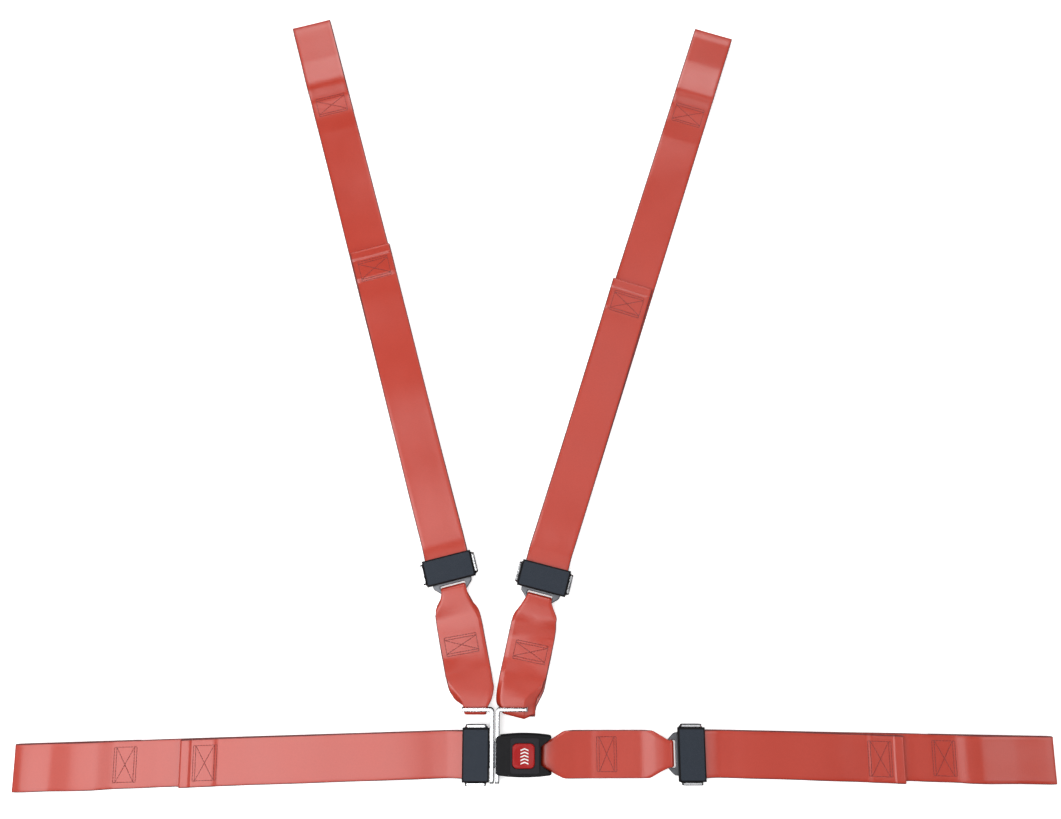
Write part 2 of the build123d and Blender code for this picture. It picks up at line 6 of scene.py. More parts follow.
import bmesh
import bpy
import numpy as np
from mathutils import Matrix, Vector


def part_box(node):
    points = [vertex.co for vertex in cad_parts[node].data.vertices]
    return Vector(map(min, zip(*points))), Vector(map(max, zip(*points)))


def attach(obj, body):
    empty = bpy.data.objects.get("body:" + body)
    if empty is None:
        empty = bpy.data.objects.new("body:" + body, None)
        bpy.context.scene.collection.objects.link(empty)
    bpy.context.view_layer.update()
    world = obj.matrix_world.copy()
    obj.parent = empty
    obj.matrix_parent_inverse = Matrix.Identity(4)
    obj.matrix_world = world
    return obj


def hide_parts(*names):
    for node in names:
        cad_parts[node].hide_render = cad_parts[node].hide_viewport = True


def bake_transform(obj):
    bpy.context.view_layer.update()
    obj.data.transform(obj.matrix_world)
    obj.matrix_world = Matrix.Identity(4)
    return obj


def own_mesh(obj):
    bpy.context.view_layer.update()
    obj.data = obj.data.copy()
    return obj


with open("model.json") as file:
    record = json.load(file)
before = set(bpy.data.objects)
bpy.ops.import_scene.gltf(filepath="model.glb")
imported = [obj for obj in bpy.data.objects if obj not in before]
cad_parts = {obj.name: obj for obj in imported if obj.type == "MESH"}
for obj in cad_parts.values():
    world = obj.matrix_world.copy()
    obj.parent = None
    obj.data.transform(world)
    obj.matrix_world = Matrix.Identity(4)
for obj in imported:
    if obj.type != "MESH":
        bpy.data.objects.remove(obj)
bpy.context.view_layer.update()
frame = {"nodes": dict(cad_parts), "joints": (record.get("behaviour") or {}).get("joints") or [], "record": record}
MM = 0.001


JOINTS = {j["name"]: j for j in frame["joints"]}
MOUNTS = {m["name"]: m for m in frame["record"]["mounts"]}


# ---------------------------------------------------------------- materials
def new_material(name):
    material = bpy.data.materials.new(name)
    material.use_nodes = True
    nodes = material.node_tree.nodes
    return material, nodes, material.node_tree.links, nodes["Principled BSDF"]


def noise(nodes, links, coordinate, scale, detail=3.0, rough=0.5):
    made = nodes.new("ShaderNodeTexNoise")
    made.inputs["Scale"].default_value = scale
    made.inputs["Detail"].default_value = detail
    made.inputs["Roughness"].default_value = rough
    links.new(coordinate, made.inputs["Vector"])
    return made.outputs["Fac"]


def spread(nodes, links, value, low, high, out_low, out_high):
    made = nodes.new("ShaderNodeMapRange")
    for socket, number in zip(("From Min", "From Max", "To Min", "To Max"), (low, high, out_low, out_high)):
        made.inputs[socket].default_value = number
    links.new(value, made.inputs["Value"])
    return made.outputs["Result"]


def mixed(nodes, links, factor, first, second):
    """Two colours mixed by a factor. Each is three numbers or another node's output."""
    made = nodes.new("ShaderNodeMix")
    made.data_type = "RGBA"
    for colour, socket in ((first, made.inputs[6]), (second, made.inputs[7])):
        if isinstance(colour, tuple):
            socket.default_value = (*colour, 1)
        else:
            links.new(colour, socket)
    links.new(factor, made.inputs[0])
    return made.outputs[2]


def height_of(nodes, links, place):
    """The height over the floor, from the object coordinate."""
    parts = nodes.new("ShaderNodeSeparateXYZ")
    links.new(place, parts.inputs["Vector"])
    return parts.outputs["Z"]


def bump(nodes, links, height, strength, distance, normal=None):
    made = nodes.new("ShaderNodeBump")
    made.inputs["Strength"].default_value = strength
    made.inputs["Distance"].default_value = distance
    links.new(height, made.inputs["Height"])
    if normal is not None:
        links.new(normal, made.inputs["Normal"])
    return made.outputs["Normal"]


# heights under which the metal is darker and rougher; the darkness is partly a painted dark reflection
LOW_METAL = (9.8 * MM, 11.2 * MM)
LOW_METAL_ROUGH = 0.40


def bevelled(nodes, radius):
    made = nodes.new("ShaderNodeBevel")
    made.samples = 6
    made.inputs["Radius"].default_value = radius
    return made.outputs["Normal"]


def painted_edge_share(nodes, links, rounded, low, high):
    """0 along sharp edges, where the rounded normal leaves the face's own, and 1 on the faces: the mask for the
    painted shade along edges and for the painted highlight on raised rims.
    """
    face = nodes.new("ShaderNodeNewGeometry").outputs["True Normal"]
    turn = nodes.new("ShaderNodeVectorMath")
    turn.operation = "DOT_PRODUCT"
    links.new(face, turn.inputs[0])
    links.new(rounded, turn.inputs[1])
    return spread(nodes, links, turn.outputs["Value"], low, high, 0, 1)


def webbing_material(name, light, dark, rough):
    """Coated webbing: faint ribs across it, a fine grain, slow dents and a cloudy colour."""
    material, nodes, links, surface = new_material(name)
    uv = nodes.new("ShaderNodeUVMap")
    uv.uv_map = "along"
    place = nodes.new("ShaderNodeTexCoord").outputs["Object"]
    cloud = noise(nodes, links, place, 14.0, 4.0)
    fine = noise(nodes, links, place, 520.0, 4.0, 0.6)
    blotch = nodes.new("ShaderNodeMath")
    blotch.operation = "MULTIPLY_ADD"
    blotch.inputs[1].default_value = 0.65
    links.new(cloud, blotch.inputs[0])
    links.new(spread(nodes, links, fine, 0.25, 0.75, 0.0, 0.35), blotch.inputs[2])
    share = spread(nodes, links, blotch.outputs[0], 0.3, 0.75, 0, 1)
    links.new(mixed(nodes, links, share, dark, light), surface.inputs["Base Color"])
    links.new(spread(nodes, links, cloud, 0.3, 0.7, rough - 0.03, rough + 0.04), surface.inputs["Roughness"])
    surface.inputs["Specular IOR Level"].default_value = 0.82
    weave = nodes.new("ShaderNodeTexWave")
    weave.wave_type = "BANDS"
    weave.bands_direction = "X"
    weave.inputs["Scale"].default_value = 140.0
    weave.inputs["Distortion"].default_value = 1.2
    weave.inputs["Detail"].default_value = 1.0
    links.new(uv.outputs["UV"], weave.inputs["Vector"])
    ribs = bump(nodes, links, weave.outputs["Fac"], 0.10, 0.0001)
    grain = bump(nodes, links, fine, 0.22, 0.00012, ribs)
    slow = bump(nodes, links, noise(nodes, links, place, 38.0, 2.0), 0.30, 0.0006, grain)
    links.new(slow, surface.inputs["Normal"])
    return material


def plastic_material(name, light, dark, rough, grain_scale, grain, specular, bevel_radius, edge, raised=None):
    """Moulded plastic with a fine grain. edge is the colour that its sharp edges turn to, a painted shade along
    them.

    raised is (height, face colour, edge colour) for what stands higher than height; its edge colour is a painted
    highlight along the raised rim.
    """
    material, nodes, links, surface = new_material(name)
    place = nodes.new("ShaderNodeTexCoord").outputs["Object"]
    cloud = noise(nodes, links, place, 60.0, 3.0)
    fine = noise(nodes, links, place, grain_scale, 3.0, 0.6)
    rounded = bevelled(nodes, bevel_radius)
    share = painted_edge_share(nodes, links, rounded, 0.90, 0.99)
    face_colour = mixed(nodes, links, spread(nodes, links, fine, 0.3, 0.7, 0, 1), dark, light)
    # painted shade: the sharp edges turn to the edge colour
    colour = mixed(nodes, links, share, edge, face_colour)
    # above the raised level the face takes its own colour and the edges get a painted highlight
    if raised is not None:
        level, raised_face, raised_rim_highlight = raised
        height = height_of(nodes, links, place)
        above = spread(nodes, links, height, level - 0.1 * MM, level + 0.1 * MM, 0, 1)
        colour = mixed(nodes, links, above, colour, mixed(nodes, links, share, raised_rim_highlight, raised_face))
    links.new(colour, surface.inputs["Base Color"])
    links.new(spread(nodes, links, cloud, 0.3, 0.7, rough - 0.05, rough + 0.05), surface.inputs["Roughness"])
    surface.inputs["Specular IOR Level"].default_value = specular
    links.new(bump(nodes, links, fine, grain, 0.00015, rounded), surface.inputs["Normal"])
    return material


def metal_material(name, colour, rough, scratch, bevel_radius, stretch=(1, 1, 1), low_dull_and_reflection=None, edge=None):
    """Plated metal with fine scratches.

    The low colour is for what lies under LOW_METAL, which is also rougher: duller steel whose darkness is partly a
    painted dark reflection. edge is a painted shade along its sharp edges.
    """
    material, nodes, links, surface = new_material(name)
    place = nodes.new("ShaderNodeTexCoord").outputs["Object"]
    mapping = nodes.new("ShaderNodeMapping")
    mapping.inputs["Scale"].default_value = stretch
    links.new(place, mapping.inputs["Vector"])
    fine = noise(nodes, links, mapping.outputs["Vector"], 900.0, 3.0, 0.6)
    patch = noise(nodes, links, place, 120.0, 3.0)
    rounded = bevelled(nodes, bevel_radius)
    surface.inputs["Base Color"].default_value = (*colour, 1)
    roughness = spread(nodes, links, patch, 0.35, 0.7, rough, rough + 0.14)
    if low_dull_and_reflection is not None:
        # below LOW_METAL the colour turns darker, partly a painted dark reflection, and the sharp edges get a
        # painted shade
        share = spread(nodes, links, height_of(nodes, links, place), *LOW_METAL, 0, 1)
        face_colour = mixed(nodes, links, share, low_dull_and_reflection, colour)
        faces = painted_edge_share(nodes, links, rounded, 0.95, 0.999)
        links.new(mixed(nodes, links, faces, edge, face_colour), surface.inputs["Base Color"])
        by_height = nodes.new("ShaderNodeMix")
        by_height.inputs[2].default_value = LOW_METAL_ROUGH
        links.new(roughness, by_height.inputs[3])
        links.new(share, by_height.inputs[0])
        roughness = by_height.outputs[0]
    links.new(roughness, surface.inputs["Roughness"])
    surface.inputs["Metallic"].default_value = 1.0
    links.new(bump(nodes, links, fine, scratch, 0.00005, rounded), surface.inputs["Normal"])
    return material


VINYL = webbing_material("vinyl_webbing", (0.500, 0.038, 0.016), (0.450, 0.031, 0.012), 0.31)
VINYL_EDGE = webbing_material("vinyl_webbing_edge", (0.18, 0.018, 0.013), (0.12, 0.011, 0.009), 0.55)
THREAD = webbing_material("stitch_thread", (0.27, 0.026, 0.019), (0.21, 0.018, 0.014), 0.6)
# The plastics' edge colours are painted shade along their sharp edges; the case's raised panel is drawn lighter
# and bluer, with a painted highlight along its rim.
CASE = plastic_material("case_plastic", (0.015, 0.015, 0.017), (0.009, 0.009, 0.010),
                        0.5, 1500.0, 0.25, 0.10, 0.6 * MM, (0.003, 0.003, 0.004),
                        raised=(19.3 * MM, (0.023, 0.022, 0.026), (0.034, 0.031, 0.038)))
COVER = plastic_material("cover_rim", (0.010, 0.010, 0.012), (0.006, 0.006, 0.007),
                         0.5, 1200.0, 0.15, 0.15, 0.4 * MM, (0.004, 0.004, 0.005))
PANEL = plastic_material("cover_panel", (0.040, 0.048, 0.062), (0.024, 0.030, 0.041),
                         0.62, 1300.0, 0.5, 0.10, 0.3 * MM, (0.010, 0.011, 0.013))
BUTTON = plastic_material("button_plastic", (0.38, 0.012, 0.013), (0.34, 0.010, 0.010),
                          0.34, 900.0, 0.05, 0.2, 1.1 * MM, (0.02, 0.003, 0.003))
MARK = plastic_material("mark_paint", (0.86, 0.86, 0.85), (0.80, 0.80, 0.79),
                        0.5, 900.0, 0.05, 0.3, 0.1 * MM, (0.80, 0.80, 0.79))
# chrome: the dark edge colour is a painted shade along the sharp edges, about as wide as edge_reach, and the low
# colour is partly a painted dark reflection on the low parts
CHROME, HOOK_CHROME = (
    metal_material(name, (0.86, 0.87, 0.89), 0.10, 0.12, edge_reach,
                   low_dull_and_reflection=(0.17, 0.175, 0.19), edge=(0.02, 0.02, 0.022))
    for name, edge_reach in (("chrome", 1.7 * MM), ("hook_chrome", 2.5 * MM)))
ZINC = metal_material("zinc_plate", (0.16, 0.16, 0.17), 0.36, 0.4, 0.3 * MM, (1, 8, 1))

CORNERS = ("shoulder_left", "shoulder_right", "lap_left", "lap_right")
FINISHES = [
    (CASE, "black_case", ["buckle_cover_top", "buckle_cover_bottom", "tongue_ejector"]),
    (BUTTON, "red_button", ["release_button"]),
    (CHROME, "bright_steel", ["tongue_plate", "adjuster_frame_shoulder_left",
                              "adjuster_frame_shoulder_right", "adjuster_frame_lap_right"]),
    (HOOK_CHROME, "bright_steel", ["shoulder_hook_left", "shoulder_hook_right"]),
    (ZINC, "plain_steel", ["buckle_frame", "latch_plate", "latch_pin", "latch_springs", "button_springs",
                           "ejector_spring", "case_screws"] + ["friction_bar_" + c for c in CORNERS]),
    (COVER, "black_cover", ["adjuster_cover_" + c for c in CORNERS]),
]
for material, slot_name, names in FINISHES:
    for name in names:
        solid = frame["nodes"][name]
        solid.data.materials.clear()
        solid.data.materials.append(material)

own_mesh(frame["nodes"]["button_springs"])


# ---------------------------------------------------------------- mesh helpers
def mesh_object(name, points, faces, materials, indices=None, smooth=None, uvs=None):
    """A mesh from points in millimetres in the row frame."""
    mesh = bpy.data.meshes.new(name)
    mesh.from_pydata((np.asarray(points, float) * MM).tolist(), [], faces)
    for material in materials:
        mesh.materials.append(material)
    if indices is not None:
        mesh.polygons.foreach_set("material_index", indices)
    if smooth is not None:
        mesh.polygons.foreach_set("use_smooth", smooth)
    if uvs is not None:
        layer = mesh.uv_layers.new(name="along")
        corners = np.zeros(len(mesh.loops), np.int32)
        mesh.loops.foreach_get("vertex_index", corners)
        layer.data.foreach_set("uv", (np.asarray(uvs, float) * MM)[corners].ravel())
    shell = bmesh.new()
    shell.from_mesh(mesh)
    bmesh.ops.recalc_face_normals(shell, faces=shell.faces)
    shell.to_mesh(mesh)
    shell.free()
    made = bpy.data.objects.new(name, mesh)
    bpy.context.scene.collection.objects.link(made)
    return made


def unit(vectors):
    """Vectors made one long, along the last axis."""
    return vectors / np.maximum(np.linalg.norm(vectors, axis=-1, keepdims=True), 1e-9)


def tube_faces(rings, size, base=0):
    """Quads between rings of size points each, which follow one another from base on."""
    faces = []
    for low in range(base, base + (rings - 1) * size, size):
        for j in range(size):
            k = (j + 1) % size
            faces.append((low + j, low + k, low + size + k, low + size + j))
    return faces


# how far across the UV map a ribbon's faces and its rounded edges reach
FACE_V, EDGE_V = 25.0, 25.6


def thick_ribbon(name, rows, along, half):
    """Webbing from a grid of middle-surface points, stations by points across, with rounded edges."""
    rows = np.asarray(rows, float)
    count, across = rows.shape[:2]
    run = np.gradient(rows, axis=0)
    side = np.gradient(rows, axis=1)
    normal = unit(np.cross(run, side))
    top, low = rows + normal * half, rows - normal * half
    ring, marks = [top[:, j] for j in range(across)], [0] * (across - 1)
    for edge, inner, order in ((across - 1, across - 2, (45, 90, 135)), (0, 1, (135, 90, 45))):
        outward = unit(rows[:, edge] - rows[:, inner])
        columns = [rows[:, edge] + half * (math.sin(math.radians(a)) * outward
                                           + math.cos(math.radians(a)) * normal[:, edge]) for a in order]
        if edge:
            ring += columns + [low[:, j] for j in range(across - 1, -1, -1)]
            marks += [1] * 4 + [0] * (across - 1)
        else:
            ring += columns
            marks += [1] * 4
    size = len(ring)
    points = np.stack(ring, axis=1).reshape(-1, 3)
    faces, indices = tube_faces(count, size), marks * (count - 1)
    smooth = [True] * len(faces)
    for i, flip in ((0, False), (count - 1, True)):
        base = i * size
        for j in range(across - 1):
            opposite = across + 3 + (across - 1 - j)
            quad = (base + j, base + opposite, base + opposite - 1, base + j + 1)
            faces.append(quad[::-1] if flip else quad)
            indices.append(1)
            smooth.append(False)
        for first in (across - 1, 2 * across + 2):
            fan = [base + (first + n) % size for n in range(5)]
            faces.append(fan if flip else fan[::-1])
            indices.append(1)
            smooth.append(False)
    lateral = np.linspace(-FACE_V, FACE_V, across)
    ring_v = list(lateral) + [EDGE_V] * 3 + list(lateral[::-1]) + [-EDGE_V] * 3
    uvs = np.stack([np.repeat(along, size), np.tile(ring_v, count)], axis=1)
    return mesh_object(name, points, faces, (VINYL, VINYL_EDGE), indices, smooth, uvs)


def smoothstep(value):
    value = np.clip(value, 0, 1)
    return value * value * (3 - 2 * value)


def turned(direction):
    return np.array([-direction[1], direction[0]])


def at_height(plan, z):
    return np.concatenate([plan, np.asarray(z, float)[..., None]], axis=-1)


# ---------------------------------------------------------------- stitches
# (share of the stitch's length, radius of the thread, rise over the face)
STITCH = ((0.0, 0.26, -0.14), (0.15, 0.36, -0.02), (0.5, 0.40, 0.10), (0.85, 0.36, -0.02), (1.0, 0.26, -0.14))
SIDES = 6


def stitch_run(start, end, surface, stitch=3.3, gap=0.1):
    """Thread pieces along a straight seam, as (points, faces). surface gives a point and its normal."""
    length = math.dist(start, end)
    number = max(1, round(length / (stitch + gap)))
    pitch = length / number
    points, faces = [], []
    for n in range(number):
        low, high = (n * pitch + gap / 2) / length, ((n + 1) * pitch - gap / 2) / length
        centres, normals = [], []
        for place, _, _ in STITCH:
            share = low + (high - low) * place
            x, y = start[0] + (end[0] - start[0]) * share, start[1] + (end[1] - start[1]) * share
            centre, normal = surface(x, y)
            centres.append(centre)
            normals.append(normal)
        direction = unit(centres[-1] - centres[0])
        base = len(points)
        for centre, normal, (_, radius, rise) in zip(centres, normals, STITCH):
            side = unit(np.cross(direction, normal))
            for k in range(SIDES):
                angle = math.tau * k / SIDES
                up, out = rise + radius * math.sin(angle), radius * math.cos(angle)
                points.append(centre + normal * up + side * out)
        faces += tube_faces(len(STITCH), SIDES, base)
        faces.append(tuple(range(base + SIDES - 1, base - 1, -1)))
        faces.append(tuple(range(len(points) - SIDES, len(points))))
    return points, faces


def box_x(name, x_range, y_range, surface, skew=0.0):
    """A sewn rectangle with an extra line inside each cross edge and an X between the two lines."""
    (x0, x1), (y0, y1) = x_range, y_range
    inner = 2.6
    seams = [((x0, y0), (x1, y0)), ((x0, y1), (x1, y1)), ((x0, y0), (x0, y1)), ((x1, y0), (x1, y1)),
             ((x0 + inner, y0), (x0 + inner, y1)), ((x1 - inner, y0), (x1 - inner, y1)),
             ((x0 + inner, y0), (x1 - inner, y1)), ((x0 + inner, y1), (x1 - inner, y0))]
    points, faces = [], []
    for start, end in seams:
        start = (start[0] + skew * start[1], start[1])
        end = (end[0] + skew * end[1], end[1])
        more, more_faces = stitch_run(start, end, surface)
        base = len(points)
        points += more
        faces += [tuple(i + base for i in face) for face in more_faces]
    return mesh_object(name, points, faces, (THREAD,), smooth=[True] * len(faces))


# ---------------------------------------------------------------- the four long straps
# the webbing's thickness, and half its width without the rounded edge
WEB = 2.0
HALF = WEB / 2
HALF_WIDTH = 25.4 - HALF
ACROSS = np.linspace(-HALF_WIDTH, HALF_WIDTH, 15)
# places along a strap, with 0 under the adjuster, and the middle surface's path round the friction bar
BEND_X, BEND_HALF = -30.0, 22
BAR_X = -0.5
BAR_WRAP_R, BAR_WRAP_Z = 4.4, 5.4
TAIL_MID = WEB + 0.4 + HALF
# from the end loop's fold: its mount, its seam, the sewn layer's end, and where the strap is single again
LOOP_MOUNT = 27
LOOP_SEAM = (111, 136)
SEWN_END = 138
PAST_SEAM = [(139, 3.0), (158, 1.0), (170, 1.0)]
SINGLE = 172
# from the tail's end: the hem's seam and where the tail is single again
HEM_SEAM = (15, 40.5)
HEM_END = 46
SEAM_HALF = 18.5


def fine_x(xs):
    return np.linspace(xs[0], xs[-1], 241)


def run_along(points):
    """How far along a line each of its points is."""
    steps = np.linalg.norm(np.diff(points, axis=0), axis=1)
    return np.concatenate([[0], np.cumsum(steps)])


def on_top(point, x, y, step=0.5):
    """The upper face's point and normal at (x, y), where point gives the middle surface."""
    centre = point(x, y)
    normal = unit(np.cross(point(x + step, y) - centre, point(x, y + step) - centre))
    return centre + normal * HALF, normal


def smooth_values(xs, ys):
    """A table of values made smooth: straight pieces between the points, then a short moving average."""
    fine = fine_x(xs)
    values = np.interp(fine, xs, ys)
    reach = 9
    padded = np.concatenate([np.full(reach, values[0]), values, np.full(reach, values[-1])])
    kernel = np.hanning(2 * reach + 3)[1:-1]
    kernel = kernel / kernel.sum()
    return np.convolve(padded, kernel, "valid")


class LongStrap:
    """A long strap. x is 0 under the adjuster and falls towards the end loop, with a bend in plan at BEND_X.

    tail is how far the tail reaches and drift how far it strays sideways. waves holds (height, span, shift)
    of each slow wave, and loop the (place, height) of the end loop's upper layer, from the loop's fold.
    """

    def __init__(self, name, node_name, body, joint, mount, bar, tail, drift, waves, loop):
        self.name, self.node_name, self.body = name, node_name, body
        self.tail, self.drift, self.waves, self.loop = tail, drift, waves, loop
        self.near = -np.array(JOINTS[joint]["axis"][:2], float)
        low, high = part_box(bar)
        centre = (np.array(low) + np.array(high))[:2] / 2 / MM
        self.origin = centre - self.near * BAR_X
        outward = np.array(MOUNTS[mount]["axis"][:2], float)
        end = np.array(MOUNTS[mount]["pos_m"][:2], float) / MM + LOOP_MOUNT * outward
        self.far = -outward
        self.bend = self.origin + self.near * BEND_X
        self.length = float((self.bend - end) @ self.far)

    def plan(self, x, y):
        """x is 0 under the adjuster and falls along the strap; y is across."""
        x, y = np.asarray(x, float)[..., None], np.asarray(y, float)[..., None]
        near = self.origin + self.near * x + turned(self.near) * y
        far = self.bend + self.far * (x - BEND_X) + turned(self.far) * y
        share = smoothstep((BEND_X + BEND_HALF - x) / (2 * BEND_HALF))
        return near * (1 - share) + far * share

    def wave(self, x):
        """How far the strap lifts off the floor, never below it."""
        total = np.zeros_like(np.asarray(x, float))
        for height, span, shift in self.waves:
            total = total + height / 2 * (1 - np.cos(math.tau * (x - shift) / span))
        end = BEND_X - self.length
        return total * smoothstep((-x - 34) / 40) * smoothstep((x - end - 20) / 60)

    def tail_lift(self, x):
        """Height of the tail's middle surface over the floor."""
        end = BEND_X - self.tail_run
        hem = smoothstep((end + 43 - x) / 8)
        ridge = smoothstep((end + 12.5 - x) / 2.2)
        slack = 0.6 * (1 - np.cos(math.tau * (x - BEND_X) / (self.tail / 3.0)))
        slack = slack * smoothstep((BEND_X - x) / 30) * smoothstep((x - end - 30) / 40)
        return TAIL_MID + self.wave(x) + slack + 1.7 * hem + 1.3 * ridge

    @property
    def tail_run(self):
        return self.tail + BEND_X

    def main_lift(self, x):
        """Height of the upper layer's middle surface: it rises over the sewn end and over the end loop."""
        along = x - (BEND_X - self.length)
        places, heights = zip(*self.loop, *PAST_SEAM)
        return np.interp(along, fine_x(places), smooth_values(places, heights)) + self.wave(x)

    def across_shift(self, x):
        """The tail drifts a little to one side towards its free end."""
        share = np.clip((BEND_X - x) / self.tail_run, 0, 1)
        return self.drift * share * share

    def centreline(self):
        """(x, z, sideways) of the middle surface, from the loop's sewn end to the end of the hem."""
        end = BEND_X - self.length
        points = [(x, HALF, 0) for x in np.arange(end + SEWN_END, end + 9, -6.0)]
        crest = float(self.main_lift(np.array(end + 14.0)))
        middle = (crest + HALF) / 2
        for angle in np.linspace(270, 90, 21):
            a = math.radians(angle)
            reach = 14 if angle < 180 else 7
            points.append((end + HALF + reach * (1 + math.cos(a)),
                           middle + (crest - middle) * math.sin(a), 0))
        for x in np.arange(end + 18, end + SINGLE, 2.5):
            points.append((x, float(self.main_lift(np.array(x))), 0))
        for x in np.arange(end + SINGLE, BAR_X, 4.0):
            points.append((x, HALF + float(self.wave(np.array(x))), 0))
        for angle in np.linspace(-90, 90, 17):
            a = math.radians(angle)
            points.append((BAR_X + BAR_WRAP_R * math.cos(a), BAR_WRAP_Z + BAR_WRAP_R * math.sin(a), 0))
        over_bar = BAR_WRAP_Z + BAR_WRAP_R
        for x in np.arange(BAR_X - 2, BEND_X - 8, -1.75):
            share = smoothstep((-1.5 - x) / 32)
            points.append((x, float(over_bar + (self.tail_lift(np.array(x)) - over_bar) * share), 0))
        tail_end = BEND_X - self.tail_run
        for x in np.arange(BEND_X - 8, tail_end + HEM_END, -4.0):
            points.append((x, float(self.tail_lift(np.array(x))), 1))
        for x in np.arange(tail_end + HEM_END, tail_end + 3.0, -1.2):
            points.append((x, float(self.tail_lift(np.array(x))), 1))
        high = float(self.tail_lift(np.array(tail_end + 2.5)))
        low = TAIL_MID + float(self.wave(np.array(tail_end)))
        middle, radius = (high + low) / 2, (high - low) / 2
        for angle in np.linspace(90, 270, 11):
            a = math.radians(angle)
            points.append((tail_end + 2.6 + 1.6 * math.cos(a), middle + radius * math.sin(a), 1))
        for x in np.arange(tail_end + 4.5, tail_end + 37, 3.0):
            points.append((x, TAIL_MID + float(self.wave(np.array(x))) - 0.15, 1))
        return np.array(points)

    def build(self):
        line = self.centreline()
        x, z, tail = line[:, 0], line[:, 1], line[:, 2]
        shift = self.across_shift(x) * tail
        grid_x = np.repeat(x[:, None], len(ACROSS), axis=1)
        grid_y = ACROSS[None, :] + shift[:, None]
        plan = self.plan(grid_x, grid_y)
        grid_z = np.repeat(z[:, None], len(ACROSS), axis=1)
        cup = 0.25 * (np.abs(ACROSS) / HALF_WIDTH) ** 4
        upper = z > 2.5
        rows = at_height(plan, grid_z + cup[None, :] * upper[:, None])
        along = run_along(rows[:, len(ACROSS) // 2])
        strap = thick_ribbon(self.name, rows, along, HALF)
        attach(strap, self.body)
        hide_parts(self.node_name, self.node_name.replace("_strap_", "_turn_"))
        stitches = self.sew()

    def surface(self, lift, drifting):
        """The upper face of the layer that lift raises, for stitches."""
        def at(x, y):
            shift = self.across_shift(x) if drifting else 0.0

            def point(px, py):
                return at_height(self.plan(px, py + shift), np.array(float(lift(np.array(px)))))
            return on_top(point, x, y)
        return at

    def sew(self):
        end = BEND_X - self.length
        tail_end = BEND_X - self.tail_run
        across = (-SEAM_HALF, SEAM_HALF)
        sewn = box_x(self.name + "_loop_stitches", (end + LOOP_SEAM[0], end + LOOP_SEAM[1]), across,
                     self.surface(self.main_lift, False))
        hem = box_x(self.name + "_hem_stitches", (tail_end + HEM_SEAM[0], tail_end + HEM_SEAM[1]), across,
                    self.surface(self.tail_lift, True))
        for piece in (sewn, hem):
            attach(piece, self.body)
        return [sewn, hem]


LONG = [
    LongStrap("webbing_shoulder_left", "shoulder_strap_left", "shoulder_left_webbing",
              "shoulder_left_webbing_grip", "left_shoulder_loop", "friction_bar_shoulder_left",
              410.0, 1.8,
              [(1.4, 210, -80), (0.8, 128, -150)],
              [(0, 6.6), (16, 7.0), (58, 7.0), (88, 10.4), (97, 9.8), (112, 3.2)]),
    LongStrap("webbing_shoulder_right", "shoulder_strap_right", "shoulder_right_webbing",
              "shoulder_right_webbing_grip", "right_shoulder_loop", "friction_bar_shoulder_right",
              377.0, -2.6,
              [(1.5, 240, -120), (0.7, 140, -60)],
              [(0, 7.6), (10, 9.0), (28, 7.6), (50, 5.4), (62, 5.6), (95, 10.4), (100, 9.6), (112, 3.2)]),
    LongStrap("webbing_lap_left", "lap_strap_left", "lap_left_webbing", "lap_left_webbing_grip",
              "left_lap_loop", "friction_bar_lap_left", 329.0, -0.8,
              [(1.0, 190, -60), (0.6, 150, -10)],
              [(0, 6.2), (17, 7.3), (24, 7.0), (40, 6.0), (65, 9.4), (74, 9.9), (92, 9.6), (112, 3.3)]),
    LongStrap("webbing_lap_right", "lap_strap_right", "lap_right_webbing", "lap_right_webbing_grip",
              "right_lap_loop", "friction_bar_lap_right", 237.5, 2.4,
              [(1.8, 165, -70), (0.6, 110, -30)],
              [(0, 5.8), (16, 6.2), (44, 6.2), (84, 9.8), (98, 8.2), (112, 3.2)]),
]
for strap in LONG:
    strap.build()


# ---------------------------------------------------------------- the three link straps
# the middle surface's path round the bars
RING_R = 4.1
RING_Z = 5.2
# stretches from a bar on: where the strap turns from square to straight, and two places that build turns into
# points for held_by without using them
SQUARE_ENDS = (2, 28)
BENDING = (2.0, 34.0)


def shape_at(table, column, x):
    """The smoothed value of a table's column at x. The first column holds the places along the strap."""
    places, values = [row[0] for row in table], [row[column] for row in table]
    return np.interp(x, fine_x(places), smooth_values(places, values))


